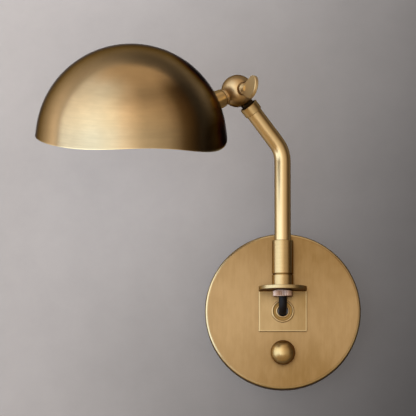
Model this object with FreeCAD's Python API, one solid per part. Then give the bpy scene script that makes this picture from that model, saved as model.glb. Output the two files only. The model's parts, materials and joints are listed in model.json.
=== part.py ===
import FreeCAD, Part
import os
from math import acos, atan2, cos, pi, radians, sin, sqrt, tan

# A wall lamp in aged brass. A round plate on the wall carries an L bracket. On the bracket's shelf a bent
# arm swings about a hollow stem, and ends in a slotted ball joint that a wing screw clamps. From the ball
# a short neck carries a dome shade whose rim waves, with a small socket inside. A dimmer knob sits below.
#
# Millimetres and degrees. The origin is the middle of the plate where it meets the wall. +X is to the
# right for someone who faces the wall, +Y goes into the wall, +Z is up.

V = FreeCAD.Vector
ORIGIN = V(0, 0, 0)
RIGHT = V(1, 0, 0)
BACK = V(0, 1, 0)
FORWARD = V(0, -1, 0)
UP = V(0, 0, 1)

# Clearances and small common sizes
seat_gap = 0.02         # between flat faces that bear on each other
thread_gap = 0.05       # radial, between a fixed thread and its hole
running_gap = 0.06      # radial, between a pin that turns and its bore
thrust_gap = 0.1        # along the axis, between faces that turn on each other
body_gap = 0.35         # between parts that pass each other
overrun = 2.0           # how far a cutter runs past the face it opens
small_chamfer = 0.4
line_gap = 0.5          # chamfer that makes a fine dark line where two parts meet

# Round plate on the wall
plate_diameter = 127.0
plate_depth = 19.0
plate_wall = 1.6
plate_edge = 2.4        # radius of the front edge

# Strap that screws to the box in the wall
strap_width = 20.0
strap_thickness = 1.9
strap_side_gap = 0.3
strap_bend = 1.5        # inner radius of the bent ends
strap_tab = 12.0        # how far the ends stand forward
box_screw_spacing = 88.9
box_slot_length = 14.0
box_slot_width = 4.8
strap_centre_hole = 16.0
ground_screw_place = 21.0
ground_screw_diameter = 4.0
ground_head_diameter = 8.4
ground_head_height = 2.6
side_screw_diameter = 4.0
side_screw_sink = 0.3

# L bracket
bracket_width = 39.0
bracket_thickness = 2.9
bracket_bottom = -16.4
shelf_top = 19.4
bracket_bend = 1.0      # inner radius
bracket_edge = 0.3      # radius of its edges
arm_offset = 9.6        # from the bracket's face to the swivel axis
bracket_screw_diameter = 3.4
bracket_screw_head = 6.4
bracket_screw_head_height = 2.0
bracket_screw_x = 13.5
bracket_screw_z = 9.0

# Bushing where the cable goes into the bracket
bushing_diameter = 18.5
bushing_height = 1.9
bushing_rim = 1.7       # width of the raised outer ring
bushing_dish = 1.0      # depth between the outer ring and the lip
bushing_lip_diameter = 11.4
bushing_hole = 8.2
bushing_shank = 12.6
bushing_nut_across = 17.0
bushing_nut_height = 3.0

# Cable from the wall to the stem
cable_diameter = 6.6
cable_bend = 7.4        # radius of its centreline
cable_wall_gap = 0.5

# Stem, nut and collar of the swivel
stem_diameter = 10.2
stem_bore = 7.2
nut_diameter = 16.0
nut_height = 4.8
nut_ridges = 36
nut_ridge_depth = 0.45
lock_washer_thickness = 0.5
lock_washer_diameter = 14.4
collar_diameter = 17.3
collar_height = 9.4
swivel_washer_thickness = 0.5
swivel_washer_diameter = 15.8
stem_top_height = 24.0  # above the shelf
retainer_height = 3.0
retainer_diameter = 12.4

# Arm
sleeve_wall = 2.0       # outside the tube, so the sleeve is 17.3 across
sleeve_length = 27.4
tube_diameter = 13.2     # outside; the collar and the sleeve's upper bore follow it
tube_wall = 1.2
tube_bend_radius = 24.0
tube_bend_angle = 40.5
tube_corner_height = 130.0
swing_angle = 25.0      # how far the arm stands out from the wall's plane

# Ball joint
ball_diameter = 26.4
ball_reach = 40.3       # from the swivel axis
top_collar_wall = 1.0
top_collar_length = 7.6
top_collar_start = 14.7  # from the ball's centre
top_collar_mouth = 3.2   # depth of its open mouth
tongue_thickness = 3.6
tongue_width = 10.0
tongue_eye_diameter = 12.0
tongue_plug_length = 9.0
wire_hole_diameter = 2.6
friction_washer_thickness = 0.5
friction_washer_diameter = 11.0
tilt_up = 60.0
tilt_down = 35.0
wing_recess_diameter = 11.8
wing_recess_floor = 9.6  # from the ball's centre

# Wing screw
wing_screw_diameter = 5.0
wing_boss_diameter = 9.0
wing_boss_end = 14.2    # from the ball's centre
wing_thickness = 3.0
wing_height = 18.8
wing_stand = 4.2        # between the boss and the wing's round part
wing_edge = 0.6         # radius of its edges
wing_turned = 10.0      # how far the wing leans at rest

# Neck between the ball and the shade
neck_reach = 26.75      # from the ball's centre to the outside of the dome
neck_drop = 25.15       # below the level
neck_start = 14.9       # from the ball's centre
neck_ball_diameter = 14.8
neck_shade_diameter = 17.0
neck_groove_diameter = 12.0
neck_ring_diameter = 13.8
neck_ring_end = 13.95
journal_diameter = 9.2
journal_end = 8.6       # from the ball's centre
journal_groove_start = 9.5
journal_groove_width = 3.1
journal_groove_depth = 0.9
nipple_diameter = 9.6
nipple_bore = 5.2
swivel_screw_diameter = 2.4
swivel_screw_length = 6.0

# Shade
dome_radius = 76.75
dome_wall = 1.1
skirt_angle = 8.0       # the lowest part of the dome flares by this much
neck_rise = 18.25       # of the neck above the rim's plane
shade_roll = -16.4      # turn of the shade about its neck in the picture
rim_height = 3.2        # mean height of the rim above the dome's centre
wave_two = 1.25         # sizes of the rim's waves, with two, three and four crests around
wave_three = 3.9
wave_four = 1.75
rim_floor = 14.0        # how far below its centre the dome is made before the rim is cut
rim_samples = 72

# Socket in the shade
shade_washer_diameter = 18.0
shade_washer_thickness = 1.0
shade_nut_across = 14.0
shade_nut_height = 3.0
cup_diameter = 23.0
cup_wall = 1.0
cup_length = 18.5
socket_diameter = 19.0
socket_length = 31.0
socket_shoulder = 2.4
shell_bore = 12.0
shell_wall = 0.5
shell_length = 13.0
contact_diameter = 6.6
contact_height = 1.6
contact_room = 2.6      # depth of the well under the shell
lead_diameter = 1.7
lead_offset = 1.35

# Dimmer
dimmer_place_share = 0.5354  # of the plate's radius, below its centre
dimmer_side = 26.0
dimmer_depth = 11.0
dimmer_corner = 4.0
dimmer_bushing = 7.0
dimmer_bushing_reach = 4.2
dimmer_nut_across = 10.0
dimmer_nut_height = 2.0
shaft_diameter = 6.0
shaft_reach = 13.0      # in front of the plate
knob_diameter = 20.0
knob_back_diameter = 13.0
knob_gap = 0.8          # between the knob and the plate
knob_height = 17.0
knob_hollow_diameter = 11.6
knob_hollow_depth = 4.6
knob_screw_diameter = 3.0

# Worked-out places
sleeve_diameter = tube_diameter + 2 * (thread_gap + sleeve_wall)
plate_radius = plate_diameter / 2
dimmer_drop = plate_radius * dimmer_place_share
strap_end = sqrt((plate_radius - plate_wall) ** 2 - (strap_width / 2) ** 2) - strap_side_gap
face = plate_depth                               # distances from the wall, forwards
bracket_face = face + bracket_thickness
axis_distance = bracket_face + arm_offset
shelf_bottom = shelf_top - bracket_thickness
collar_top = shelf_top + collar_height
sleeve_bottom = collar_top + swivel_washer_thickness + thrust_gap
sleeve_top = sleeve_bottom + sleeve_length
stem_top = shelf_top + stem_top_height
ball_radius = ball_diameter / 2
ball_height = tube_corner_height + ball_reach / tan(radians(tube_bend_angle))
ball_centre = V(-ball_reach, 0, ball_height)     # in the arm's own frame
neck_length = neck_reach + dome_radius           # from the ball's centre to the dome's centre
slot_width = tongue_thickness + 2 * (friction_washer_thickness + thrust_gap + seat_gap)

# Frames: the wall frame has its z axis forwards from the wall, the arm frame is upright on the swivel
# axis with the arm going towards -X, the tilt frame has its z axis along the wing screw, and the neck
# frame has its z axis from the ball to the shade. The side frame has x forwards from the wall.
WALL = FreeCAD.Placement(ORIGIN, FreeCAD.Rotation(RIGHT, 90))
SIDE = FreeCAD.Placement(ORIGIN, FreeCAD.Rotation(UP, -90))
ARM = FreeCAD.Placement(V(0, -axis_distance, 0), FreeCAD.Rotation(UP, swing_angle))
AT_BALL = ARM.multiply(FreeCAD.Placement(ball_centre, FreeCAD.Rotation()))
TILT = AT_BALL.multiply(FreeCAD.Placement(ORIGIN, FreeCAD.Rotation(RIGHT, 90)))
neck_direction = V(-cos(radians(neck_drop)), 0, -sin(radians(neck_drop)))
NECK = AT_BALL.multiply(FreeCAD.Placement(ORIGIN, FreeCAD.Rotation(BACK, -90 - neck_drop)))
tube_direction = V(sin(radians(tube_bend_angle)), 0, -cos(radians(tube_bend_angle)))
TUBE_END = AT_BALL.multiply(FreeCAD.Placement(ORIGIN, FreeCAD.Rotation(BACK, 180 - tube_bend_angle)))
shade_lean = FreeCAD.Rotation(FORWARD, neck_drop - neck_rise)
shade_turned = FreeCAD.Rotation(neck_direction, shade_roll).multiply(shade_lean)
SHADE = AT_BALL.multiply(FreeCAD.Placement(neck_direction * neck_length, shade_turned))


# Shapes that several pieces share

def outline_face(start, steps):
    """A face in the XZ plane. A step is a point, or a pair: a point on an arc and the arc's end."""
    first = here = V(start[0], 0, start[1])
    edges = []
    for step in steps:
        if isinstance(step[0], tuple):
            via, end = (V(point[0], 0, point[1]) for point in step)
            edges.append(Part.Arc(here, via, end).toShape())
        else:
            end = V(step[0], 0, step[1])
            edges.append(Part.LineSegment(here, end).toShape())
        here = end
    if (here - first).Length > 0:
        edges.append(Part.LineSegment(here, first).toShape())
    return Part.Face(Part.Wire(edges))


def turned(start, *steps):
    """A solid turned about the Z axis from an outline of (radius, height) points."""
    return outline_face(start, steps).revolve(ORIGIN, UP, 360)


def rod(diameter, low, high, x=0, y=0):
    return Part.makeCylinder(diameter / 2, high - low, V(x, y, low))


def ring(outer, inner, low, high):
    return rod(outer, low, high).cut(rod(inner, low - overrun, high + overrun))


def chamfered_rod(diameter, low, high, chamfer):
    """A rod whose two end edges are chamfered."""
    radius = diameter / 2
    return turned(
        (0, low), (radius - chamfer, low), (radius, low + chamfer),
        (radius, high - chamfer), (radius - chamfer, high), (0, high),
    )


def hexagon(across, low, high):
    """A six-sided prism, across its flats."""
    corner = across / 2 / cos(pi / 6)
    points = [V(corner * cos(k * pi / 3), corner * sin(k * pi / 3), low) for k in range(7)]
    return Part.Face(Part.makePolygon(points)).extrude(V(0, 0, high - low))


def block(x_low, x_high, y_low, y_high, z_low, z_high):
    return Part.makeBox(x_high - x_low, y_high - y_low, z_high - z_low, V(x_low, y_low, z_low))


def sideways(shape, angle):
    """The shape with its Z axis laid in the XY plane, at an angle from +X."""
    laid = shape.copy()
    laid.rotate(ORIGIN, BACK, 90)
    laid.rotate(ORIGIN, UP, angle)
    return laid


def swept(path, diameter):
    """A round bar along a path of runs and tangent arcs."""
    edge = path.OrderedEdges[0]
    start = edge.valueAt(edge.FirstParameter)
    circle = Part.makeCircle(diameter / 2, start, edge.tangentAt(edge.FirstParameter))
    return path.makePipeShell([Part.Wire(circle)], True, False)


def placed(shape, frame):
    moved = shape.copy()
    moved.Placement = frame.multiply(moved.Placement)
    return moved


def keep(name, shape, frame=None):
    """Places a finished piece in the lamp and writes it as its own sub-part."""
    if frame is not None:
        shape = placed(shape, frame)
    shape.exportStep("parts/" + name + ".step")


# Wall plate and strap, in the wall frame: x right, y up, z forwards

def side_screws():
    """The two set screws that hold the plate to the strap's bent ends."""
    outer = plate_radius - side_screw_sink
    inner = strap_end - strap_thickness - strap_bend
    screws = []
    for angle in (0, 180):
        screw = chamfered_rod(side_screw_diameter, inner, outer, small_chamfer)
        slot = block(
            -side_screw_diameter, side_screw_diameter, -small_chamfer, small_chamfer,
            outer - 2 * small_chamfer, outer + overrun,
        )
        screws.append(sideways(screw.cut(slot), angle))
    return screws


def side_screw_height():
    return strap_tab - side_screw_diameter


def backplate():
    inside = plate_radius - plate_wall
    sheet = face - plate_wall
    pan = turned(
        (inside, 0), (plate_radius, 0), (plate_radius, face - plate_edge),
        (
            (plate_radius - plate_edge * (1 - cos(pi / 4)), face - plate_edge * (1 - sin(pi / 4))),
            (plate_radius - plate_edge, face),
        ),
        (0, face), (0, sheet), (inside - plate_edge, sheet),
        (
            (inside - plate_edge * (1 - cos(pi / 4)), sheet - plate_edge * (1 - sin(pi / 4))),
            (inside, sheet - plate_edge),
        ),
        (inside, 0),
    )
    holes = [
        rod(bushing_shank + 2 * thread_gap, sheet - overrun, face + overrun),
        rod(dimmer_bushing + 2 * thread_gap, sheet - overrun, face + overrun, 0, -dimmer_drop),
    ]
    for side in (-1, 1):
        holes.append(rod(
            bracket_screw_diameter + 2 * thread_gap, sheet - overrun, face + overrun,
            side * bracket_screw_x, bracket_screw_z,
        ))
    for angle in (0, 180):
        hole = rod(side_screw_diameter + 2 * thread_gap, inside - overrun, plate_radius + overrun)
        hole = sideways(hole, angle)
        hole.translate(V(0, 0, side_screw_height()))
        holes.append(hole)
    return pan.cut(holes)


def mounting_strap():
    """A flat bar across the wall box, with bent ends that take the plate's side screws."""
    end = strap_end
    outer_bend = strap_bend + strap_thickness
    inner_end = end - strap_thickness
    shoulder = outer_bend * (1 - cos(pi / 4))
    inner_shoulder = strap_bend * (1 - cos(pi / 4))
    half = outline_face(
        (0, 0),
        (
            (end - outer_bend, 0),
            ((end - shoulder, shoulder), (end, outer_bend)),
            (end, strap_tab), (inner_end, strap_tab), (inner_end, outer_bend),
            (
                (inner_end - inner_shoulder, strap_thickness + inner_shoulder),
                (inner_end - strap_bend, strap_thickness),
            ),
            (0, strap_thickness),
        ),
    ).extrude(V(0, strap_width, 0))
    half.translate(V(0, -strap_width / 2, 0))
    strap = half.fuse(half.mirror(ORIGIN, RIGHT)).removeSplitter()
    slot_run = (box_slot_length - box_slot_width) / 2
    cuts = [
        rod(strap_centre_hole, -overrun, strap_thickness + overrun),
        rod(ground_screw_diameter + 2 * thread_gap, -overrun, strap_thickness + overrun,
            ground_screw_place),
    ]
    for side in (-1, 1):
        middle = side * box_screw_spacing / 2
        for x in (middle - slot_run, middle + slot_run):
            cuts.append(rod(box_slot_width, -overrun, strap_thickness + overrun, x))
        cuts.append(block(
            middle - slot_run, middle + slot_run, -box_slot_width / 2, box_slot_width / 2,
            -overrun, strap_thickness + overrun,
        ))
        hole = sideways(rod(side_screw_diameter + 2 * thread_gap, inner_end - overrun, end + overrun), 0)
        hole.translate(V(0, 0, side_screw_height()))
        cuts.append(hole if side > 0 else hole.mirror(ORIGIN, RIGHT))
    return strap.cut(cuts)


def ground_screw():
    low = strap_thickness + seat_gap
    shank = rod(ground_screw_diameter, small_chamfer, low + small_chamfer, ground_screw_place)
    head = hexagon(ground_head_diameter * cos(pi / 6), low, low + ground_head_height)
    slot = block(
        -ground_head_diameter, ground_head_diameter, -small_chamfer, small_chamfer,
        low + ground_head_height / 2, low + ground_head_height + overrun,
    )
    head = head.cut(slot)
    head.translate(V(ground_screw_place, 0, 0))
    return shank.fuse(head).removeSplitter()


# Bracket with its screws and the cable's bushing

def bracket():
    """One bent sheet, made from the side: x is forwards from the wall, y to the right, z up."""
    half = bracket_width / 2
    outer_bend = bracket_bend + bracket_thickness
    inner_rise = bracket_bend * (1 - cos(pi / 4))
    outer_rise = outer_bend * (1 - cos(pi / 4))
    reach = axis_distance + half
    profile = outline_face(
        (face, bracket_bottom),
        (
            (bracket_face, bracket_bottom), (bracket_face, shelf_bottom - bracket_bend),
            (
                (bracket_face + inner_rise, shelf_bottom - inner_rise),
                (bracket_face + bracket_bend, shelf_bottom),
            ),
            (reach, shelf_bottom), (reach, shelf_top), (face + outer_bend, shelf_top),
            (
                (face + outer_rise, shelf_top - outer_rise),
                (face, shelf_top - outer_bend),
            ),
        ),
    )
    sheet = profile.extrude(V(0, bracket_width, 0))
    sheet.translate(V(0, -half, 0))
    low = bracket_bottom - overrun
    tall = shelf_top + overrun - low
    plan = block(face - overrun, axis_distance, -half, half, low, low + tall)
    plan = plan.fuse(Part.makeCylinder(half, tall, V(axis_distance, 0, low)))
    body = sheet.common(plan).removeSplitter()
    body = body.makeFillet(bracket_edge, body.Edges)
    holes = [
        rod(stem_diameter + 2 * thread_gap, shelf_bottom - overrun, shelf_top + overrun, axis_distance),
        sideways(rod(bushing_shank + 2 * thread_gap, face - overrun, bracket_face + overrun), 0),
    ]
    for side in (-1, 1):
        hole = sideways(rod(
            bracket_screw_diameter + 2 * thread_gap, face - overrun, bracket_face - line_gap,
        ), 0)
        hole.translate(V(0, side * bracket_screw_x, bracket_screw_z))
        holes.append(hole)
    return body.cut(holes)


def bracket_screws():
    """Two screws from behind, whose threads end inside the bracket's plate."""
    back = face - plate_wall - seat_gap
    tip = bracket_face - line_gap - seat_gap
    screws = []
    for side in (-1, 1):
        shank = rod(bracket_screw_diameter, back - small_chamfer, tip)
        head = chamfered_rod(
            bracket_screw_head, back - bracket_screw_head_height, back, small_chamfer,
        )
        slot = block(
            -bracket_screw_head, bracket_screw_head, -small_chamfer, small_chamfer,
            back - bracket_screw_head_height - overrun, back - bracket_screw_head_height / 2,
        )
        screw = shank.fuse(head).cut(slot)
        screw.translate(V(side * bracket_screw_x, bracket_screw_z, 0))
        screws.append(screw)
    return Part.makeCompound(screws)


def cable_bushing():
    """A turned bushing: a raised outer ring, a shallow dish and a lip about the cable's hole."""
    low = bracket_face + seat_gap
    high = low + bushing_height
    outer = bushing_diameter / 2
    lip = bushing_lip_diameter / 2
    hole = bushing_hole / 2
    lip_middle = (lip + hole) / 2
    back = face - plate_wall - bushing_nut_height - small_chamfer
    return turned(
        (hole, back), (bushing_shank / 2, back), (bushing_shank / 2, low), (outer, low),
        (outer, high - bushing_rim / 2),
        ((outer - bushing_rim / 2, high), (outer - bushing_rim, high - bushing_rim / 2)),
        (outer - bushing_rim, high - bushing_dish), (lip, high - bushing_dish),
        ((lip_middle, high), (hole, high - bushing_dish)),
        (hole, back),
    )


def bushing_nut():
    high = face - plate_wall - seat_gap
    nut = hexagon(bushing_nut_across, high - bushing_nut_height, high)
    hole = rod(bushing_shank + 2 * thread_gap, high - bushing_nut_height - overrun, high + overrun)
    return nut.cut(hole)


# Cable and swivel. The pieces about the swivel axis are made upright, with z as the height.

def supply_cable():
    """From the wall through the bushing, round one bend and up into the stem."""
    wall_end = V(0, -cable_wall_gap, 0)
    bend_start = V(0, -axis_distance + cable_bend, 0)
    middle = V(
        0,
        -axis_distance + cable_bend * (1 - cos(pi / 4)),
        cable_bend * (1 - cos(pi / 4)),
    )
    bend_end = V(0, -axis_distance, cable_bend)
    top = V(0, -axis_distance, stem_top - body_gap)
    path = Part.Wire([
        Part.LineSegment(wall_end, bend_start).toShape(),
        Part.Arc(bend_start, middle, bend_end).toShape(),
        Part.LineSegment(bend_end, top).toShape(),
    ])
    return swept(path, cable_diameter)


def knurled_nut():
    high = shelf_bottom - lock_washer_thickness - 2 * seat_gap
    low = high - nut_height
    nut = chamfered_rod(nut_diameter, low, high, small_chamfer)
    radius = nut_diameter / 2
    grooves = []
    for k in range(nut_ridges):
        groove = Part.Face(Part.makePolygon([
            V(radius - nut_ridge_depth, 0, low - overrun),
            V(radius + nut_ridge_depth, nut_ridge_depth * 2, low - overrun),
            V(radius + nut_ridge_depth, -nut_ridge_depth * 2, low - overrun),
            V(radius - nut_ridge_depth, 0, low - overrun),
        ])).extrude(V(0, 0, nut_height + 2 * overrun))
        groove.rotate(ORIGIN, UP, 360 * k / nut_ridges)
        grooves.append(groove)
    hole = rod(stem_diameter + 2 * thread_gap, low - overrun, high + overrun)
    return nut.cut(grooves).cut(hole)


def lock_washer():
    """A split spring washer between the nut and the shelf."""
    high = shelf_bottom - seat_gap
    low = high - lock_washer_thickness
    washer = ring(lock_washer_diameter, stem_diameter + 2 * thread_gap, low, high)
    split = block(
        0, lock_washer_diameter, -lock_washer_thickness, lock_washer_thickness,
        low - overrun, high + overrun,
    )
    return washer.cut(split)


def hollow_stem():
    low = shelf_bottom - lock_washer_thickness - nut_height
    radius = stem_diameter / 2
    bore = stem_bore / 2
    return turned(
        (bore, low), (radius - small_chamfer, low), (radius, low + small_chamfer),
        (radius, stem_top - small_chamfer), (radius - small_chamfer, stem_top), (bore, stem_top),
    )


def lower_collar():
    low = shelf_top + seat_gap
    bore = stem_diameter / 2 + thread_gap
    radius = collar_diameter / 2
    return turned(
        (bore, low), (radius, low), (radius, collar_top - line_gap),
        (radius - line_gap, collar_top), (bore, collar_top),
    )


def swivel_washer():
    low = collar_top + seat_gap
    return ring(
        swivel_washer_diameter, stem_diameter + 2 * thread_gap,
        low, low + swivel_washer_thickness,
    )


def stem_retainer():
    """The ring nut on the stem's top that keeps the sleeve down on its washer."""
    low = retainer_floor() + thrust_gap
    return ring(retainer_diameter, stem_diameter + 2 * thread_gap, low, low + retainer_height)


def retainer_floor():
    """Height of the shoulder inside the sleeve that the stem's ring nut holds down."""
    return stem_top - retainer_height - 2 * thrust_gap


def tube_low():
    """Height of the tube's lower end in the sleeve, just above the stem."""
    return stem_top + thrust_gap + body_gap


def arm_sleeve():
    """The turning part of the swivel: it runs on the stem below and holds the tube above."""
    radius = sleeve_diameter / 2
    bore = stem_diameter / 2 + running_gap
    chamber = retainer_diameter / 2 + body_gap
    socket = tube_diameter / 2 + thread_gap
    return turned(
        (bore, sleeve_bottom), (radius - line_gap, sleeve_bottom), (radius, sleeve_bottom + line_gap),
        (radius, sleeve_top - small_chamfer), (radius - small_chamfer, sleeve_top),
        (socket, sleeve_top), (socket, tube_low()), (chamber, tube_low()),
        (chamber, retainer_floor()), (bore, retainer_floor()),
    )


# Arm, in the arm's own frame

def arm_path(low, stop):
    """Up the swivel axis, round the bend and on towards the ball, to a distance from its centre."""
    angle = radians(tube_bend_angle)
    tangent = tube_bend_radius * tan(angle / 2)
    bend_low = V(0, 0, tube_corner_height - tangent)
    middle = V(
        -tube_bend_radius * (1 - cos(angle / 2)), 0,
        bend_low.z + tube_bend_radius * sin(angle / 2),
    )
    bend_high = V(
        -tube_bend_radius * (1 - cos(angle)), 0,
        bend_low.z + tube_bend_radius * sin(angle),
    )
    top = ball_centre + tube_direction * stop
    return Part.Wire([
        Part.LineSegment(V(0, 0, low), bend_low).toShape(),
        Part.Arc(bend_low, middle, bend_high).toShape(),
        Part.LineSegment(bend_high, top).toShape(),
    ])


def arm_tube():
    stop = top_collar_start + top_collar_mouth
    outside = swept(arm_path(tube_low(), stop), tube_diameter)
    inside = swept(arm_path(tube_low(), stop), tube_diameter - 2 * tube_wall)
    return outside.cut(inside)


def arm_cable():
    """The part of the cable inside the arm, from the stem to the plug of the tongue."""
    low = stem_top + body_gap
    stop = top_collar_start + top_collar_mouth + tongue_plug_length + body_gap
    return swept(arm_path(low, stop), cable_diameter)


def top_collar():
    """A short collar round the tube's end, with an open mouth towards the ball."""
    radius = tube_diameter / 2 + top_collar_wall
    bore = tube_diameter / 2 + thread_gap
    high = top_collar_start + top_collar_length
    return turned(
        (bore, top_collar_start), (radius - small_chamfer, top_collar_start),
        (radius, top_collar_start + small_chamfer),
        (radius, high - small_chamfer), (radius - small_chamfer, high), (bore, high),
    )


def knuckle_tongue():
    """A plug in the tube's end with a flat tongue and an eye for the screw. z runs down the tube."""
    plug_start = top_collar_start + top_collar_mouth
    plug_diameter = tube_diameter - 2 * tube_wall - 2 * thread_gap
    half = tongue_thickness / 2
    blade = block(-tongue_width / 2, tongue_width / 2, -half, half, 0, plug_start + small_chamfer)
    eye = Part.makeCylinder(tongue_eye_diameter / 2, tongue_thickness, V(0, -half, 0), BACK)
    plug = rod(plug_diameter, plug_start, plug_start + tongue_plug_length)
    body = blade.fuse([eye, plug])
    wire = rod(
        wire_hole_diameter, plug_start - overrun, plug_start + tongue_plug_length + overrun,
        0, half + wire_hole_diameter / 2,
    )
    screw = Part.makeCylinder(
        wing_screw_diameter / 2 + running_gap, tongue_thickness + 2 * overrun,
        V(0, -half - overrun, 0), BACK,
    )
    return body.cut([wire, screw]).removeSplitter()


# Ball joint, in the tilt frame: z along the wing screw, x towards the right, y up

def slot_cutter():
    """The room that the tongue sweeps in the ball over the whole tilt."""
    reach = ball_radius + overrun
    half = tongue_width / 2 + body_gap
    rest = tube_bend_angle - 90
    fan = Part.makeCylinder(reach, slot_width, V(0, 0, -slot_width / 2), UP, tilt_up + tilt_down)
    fan.rotate(ORIGIN, UP, rest - tilt_down)
    room = [rod(tongue_eye_diameter + 2 * body_gap, -slot_width / 2, slot_width / 2)]
    for angle in (rest - tilt_down, rest + tilt_up):
        blade = block(0, reach, -half, half, -slot_width / 2, slot_width / 2)
        blade.rotate(ORIGIN, UP, angle)
        room.append(blade)
    return fan.fuse(room)


def ball_body():
    ball = Part.makeSphere(ball_radius)
    recess = rod(wing_recess_diameter, wing_recess_floor, ball_radius + overrun)
    screw = rod(wing_screw_diameter + 2 * running_gap, -ball_radius - overrun, ball_radius + overrun)
    ball = placed(ball.cut([slot_cutter(), recess, screw]), TILT)
    # The ring, the journal's bore and the wire's way lie along the neck
    neck_ring = placed(turned(
        (0, journal_end), (neck_ring_diameter / 2 - line_gap, journal_end),
        (neck_ring_diameter / 2 - line_gap, neck_ring_end - 2 * line_gap),
        (
            (neck_ring_diameter / 2, neck_ring_end - line_gap),
            (neck_ring_diameter / 2 - line_gap, neck_ring_end),
        ),
        (0, neck_ring_end),
    ), NECK)
    bore = placed(rod(
        journal_diameter + 2 * running_gap, journal_end - thrust_gap, neck_ring_end + overrun,
    ), NECK)
    way = placed(rod(nipple_bore, tongue_eye_diameter / 2, journal_end + overrun), NECK)
    groove_middle = journal_groove_start + journal_groove_width / 2
    pin_hole = Part.makeCylinder(
        swivel_screw_diameter / 2 + thread_gap, ball_radius, V(0, 0, groove_middle), BACK,
    )
    return ball.fuse(neck_ring).cut([bore, way, placed(pin_hole, NECK)]).removeSplitter()


def swivel_screw():
    """A grub screw from the back of the ball into the groove of the neck's journal."""
    groove_middle = journal_groove_start + journal_groove_width / 2
    start = journal_diameter / 2 - journal_groove_depth + body_gap
    return Part.makeCylinder(
        swivel_screw_diameter / 2, swivel_screw_length,
        V(0, start, groove_middle), BACK,
    )


def friction_washers():
    """The two thin washers beside the tongue's eye."""
    washers = []
    for side in (-1, 1):
        middle = side * (slot_width - friction_washer_thickness - 2 * seat_gap) / 2
        low = middle - friction_washer_thickness / 2
        washers.append(ring(
            friction_washer_diameter, wing_screw_diameter + 2 * running_gap,
            low, low + friction_washer_thickness,
        ))
    return Part.makeCompound(washers)


def wing_plate():
    """The flat wing: a round end whose straight flanks run down to the boss."""
    radius = wing_height / 2
    middle = wing_boss_end + wing_stand + radius
    root = wing_boss_diameter / 2 - wing_edge
    foot = wing_boss_end - wing_edge
    # Where the line from the foot touches the round end
    away = sqrt(root ** 2 + (middle - foot) ** 2)
    turn = acos(radius / away) - atan2(middle - foot, root)
    touch = (radius * cos(turn), middle + radius * sin(turn))
    face_on = outline_face(
        (root, foot),
        (touch, ((0, middle + radius), (-touch[0], touch[1])), (-root, foot)),
    )
    plate = face_on.extrude(V(0, wing_thickness, 0))
    plate.translate(V(0, -wing_thickness / 2, 0))
    edge_radius = min(wing_edge, wing_thickness / 3)
    rims = [
        edge for edge in plate.Edges
        if abs(edge.BoundBox.YLength) < seat_gap and edge.BoundBox.ZMax > wing_boss_end
    ]
    return plate.makeFillet(edge_radius, rims)


def wing_screw():
    """A thumb screw: a shank through the ball, a round boss and a flat wing."""
    radius = wing_boss_diameter / 2
    shank = rod(wing_screw_diameter, -ball_radius + overrun / 2, wing_recess_floor + small_chamfer)
    boss = turned(
        (0, wing_recess_floor + seat_gap), (radius, wing_recess_floor + seat_gap),
        (radius, wing_boss_end - small_chamfer), (radius - small_chamfer, wing_boss_end),
        (wing_thickness, wing_boss_end + wing_thickness), (0, wing_boss_end + wing_thickness),
    )
    plate = wing_plate()
    plate.rotate(ORIGIN, UP, 90 - wing_turned)
    return shank.fuse([boss, plate]).removeSplitter()


# Neck and shade, with z along the neck from the ball's centre unless a piece says otherwise

def shade_neck():
    """Journal in the ball, groove, tapered neck and the threaded nipple that goes into the shade."""
    journal = journal_diameter / 2
    waist = journal - journal_groove_depth
    bore = nipple_bore / 2
    groove_start = journal_groove_start
    groove_end = journal_groove_start + journal_groove_width
    seat = neck_ring_end + thrust_gap
    far = nipple_end()
    body = turned(
        (bore, journal_end), (journal, journal_end), (journal, groove_start), (waist, groove_start),
        (waist, groove_end), (journal, groove_end), (journal, seat), (neck_groove_diameter / 2, seat),
        (neck_groove_diameter / 2, neck_start), (neck_ball_diameter / 2 - small_chamfer, neck_start),
        (neck_ball_diameter / 2, neck_start + small_chamfer),
        (neck_shade_diameter / 2, neck_reach + overrun), (nipple_diameter / 2, neck_reach + overrun),
        (nipple_diameter / 2, far), (bore, far),
    )
    # The neck's end is hollowed to sit on the dome, but the nipple goes on through
    dome = Part.makeSphere(dome_radius + seat_gap, V(0, 0, neck_length))
    nipple = ring(nipple_diameter, nipple_bore, neck_reach, far)
    return body.cut(dome).fuse(nipple).removeSplitter()


def washer_seat():
    """Where the flat washer's edge meets the inside of the dome."""
    inside = dome_radius - dome_wall
    edge = shade_washer_diameter / 2
    return neck_length - sqrt(inside ** 2 - edge ** 2) + seat_gap


def nut_seat():
    return washer_seat() + shade_washer_thickness + seat_gap


def cup_seat():
    return nut_seat() + shade_nut_height + seat_gap


def nipple_end():
    return cup_seat() + 2 * cup_wall + socket_shoulder


def shade_washer():
    hole = nipple_diameter + 2 * thread_gap
    return ring(shade_washer_diameter, hole, washer_seat(), washer_seat() + shade_washer_thickness)


def shade_nut():
    low = nut_seat()
    nut = hexagon(shade_nut_across, low, low + shade_nut_height)
    return nut.cut(rod(nipple_diameter + 2 * thread_gap, low - overrun, low + shade_nut_height + overrun))


def rim_wave(angle):
    """Height of the rim above the dome's centre; the angle is from the neck, about the dome's axis."""
    return (
        rim_height + wave_two * cos(2 * angle) + wave_three * cos(3 * angle)
        + wave_four * cos(4 * angle)
    )


def wave_ring(radius):
    points = []
    for k in range(rim_samples):
        angle = 2 * pi * k / rim_samples
        points.append(V(radius * cos(angle), radius * sin(angle), rim_wave(angle)))
    curve = Part.BSplineCurve()
    curve.interpolate(Points=points, PeriodicFlag=True)
    return Part.Wire(curve.toShape())


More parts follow.
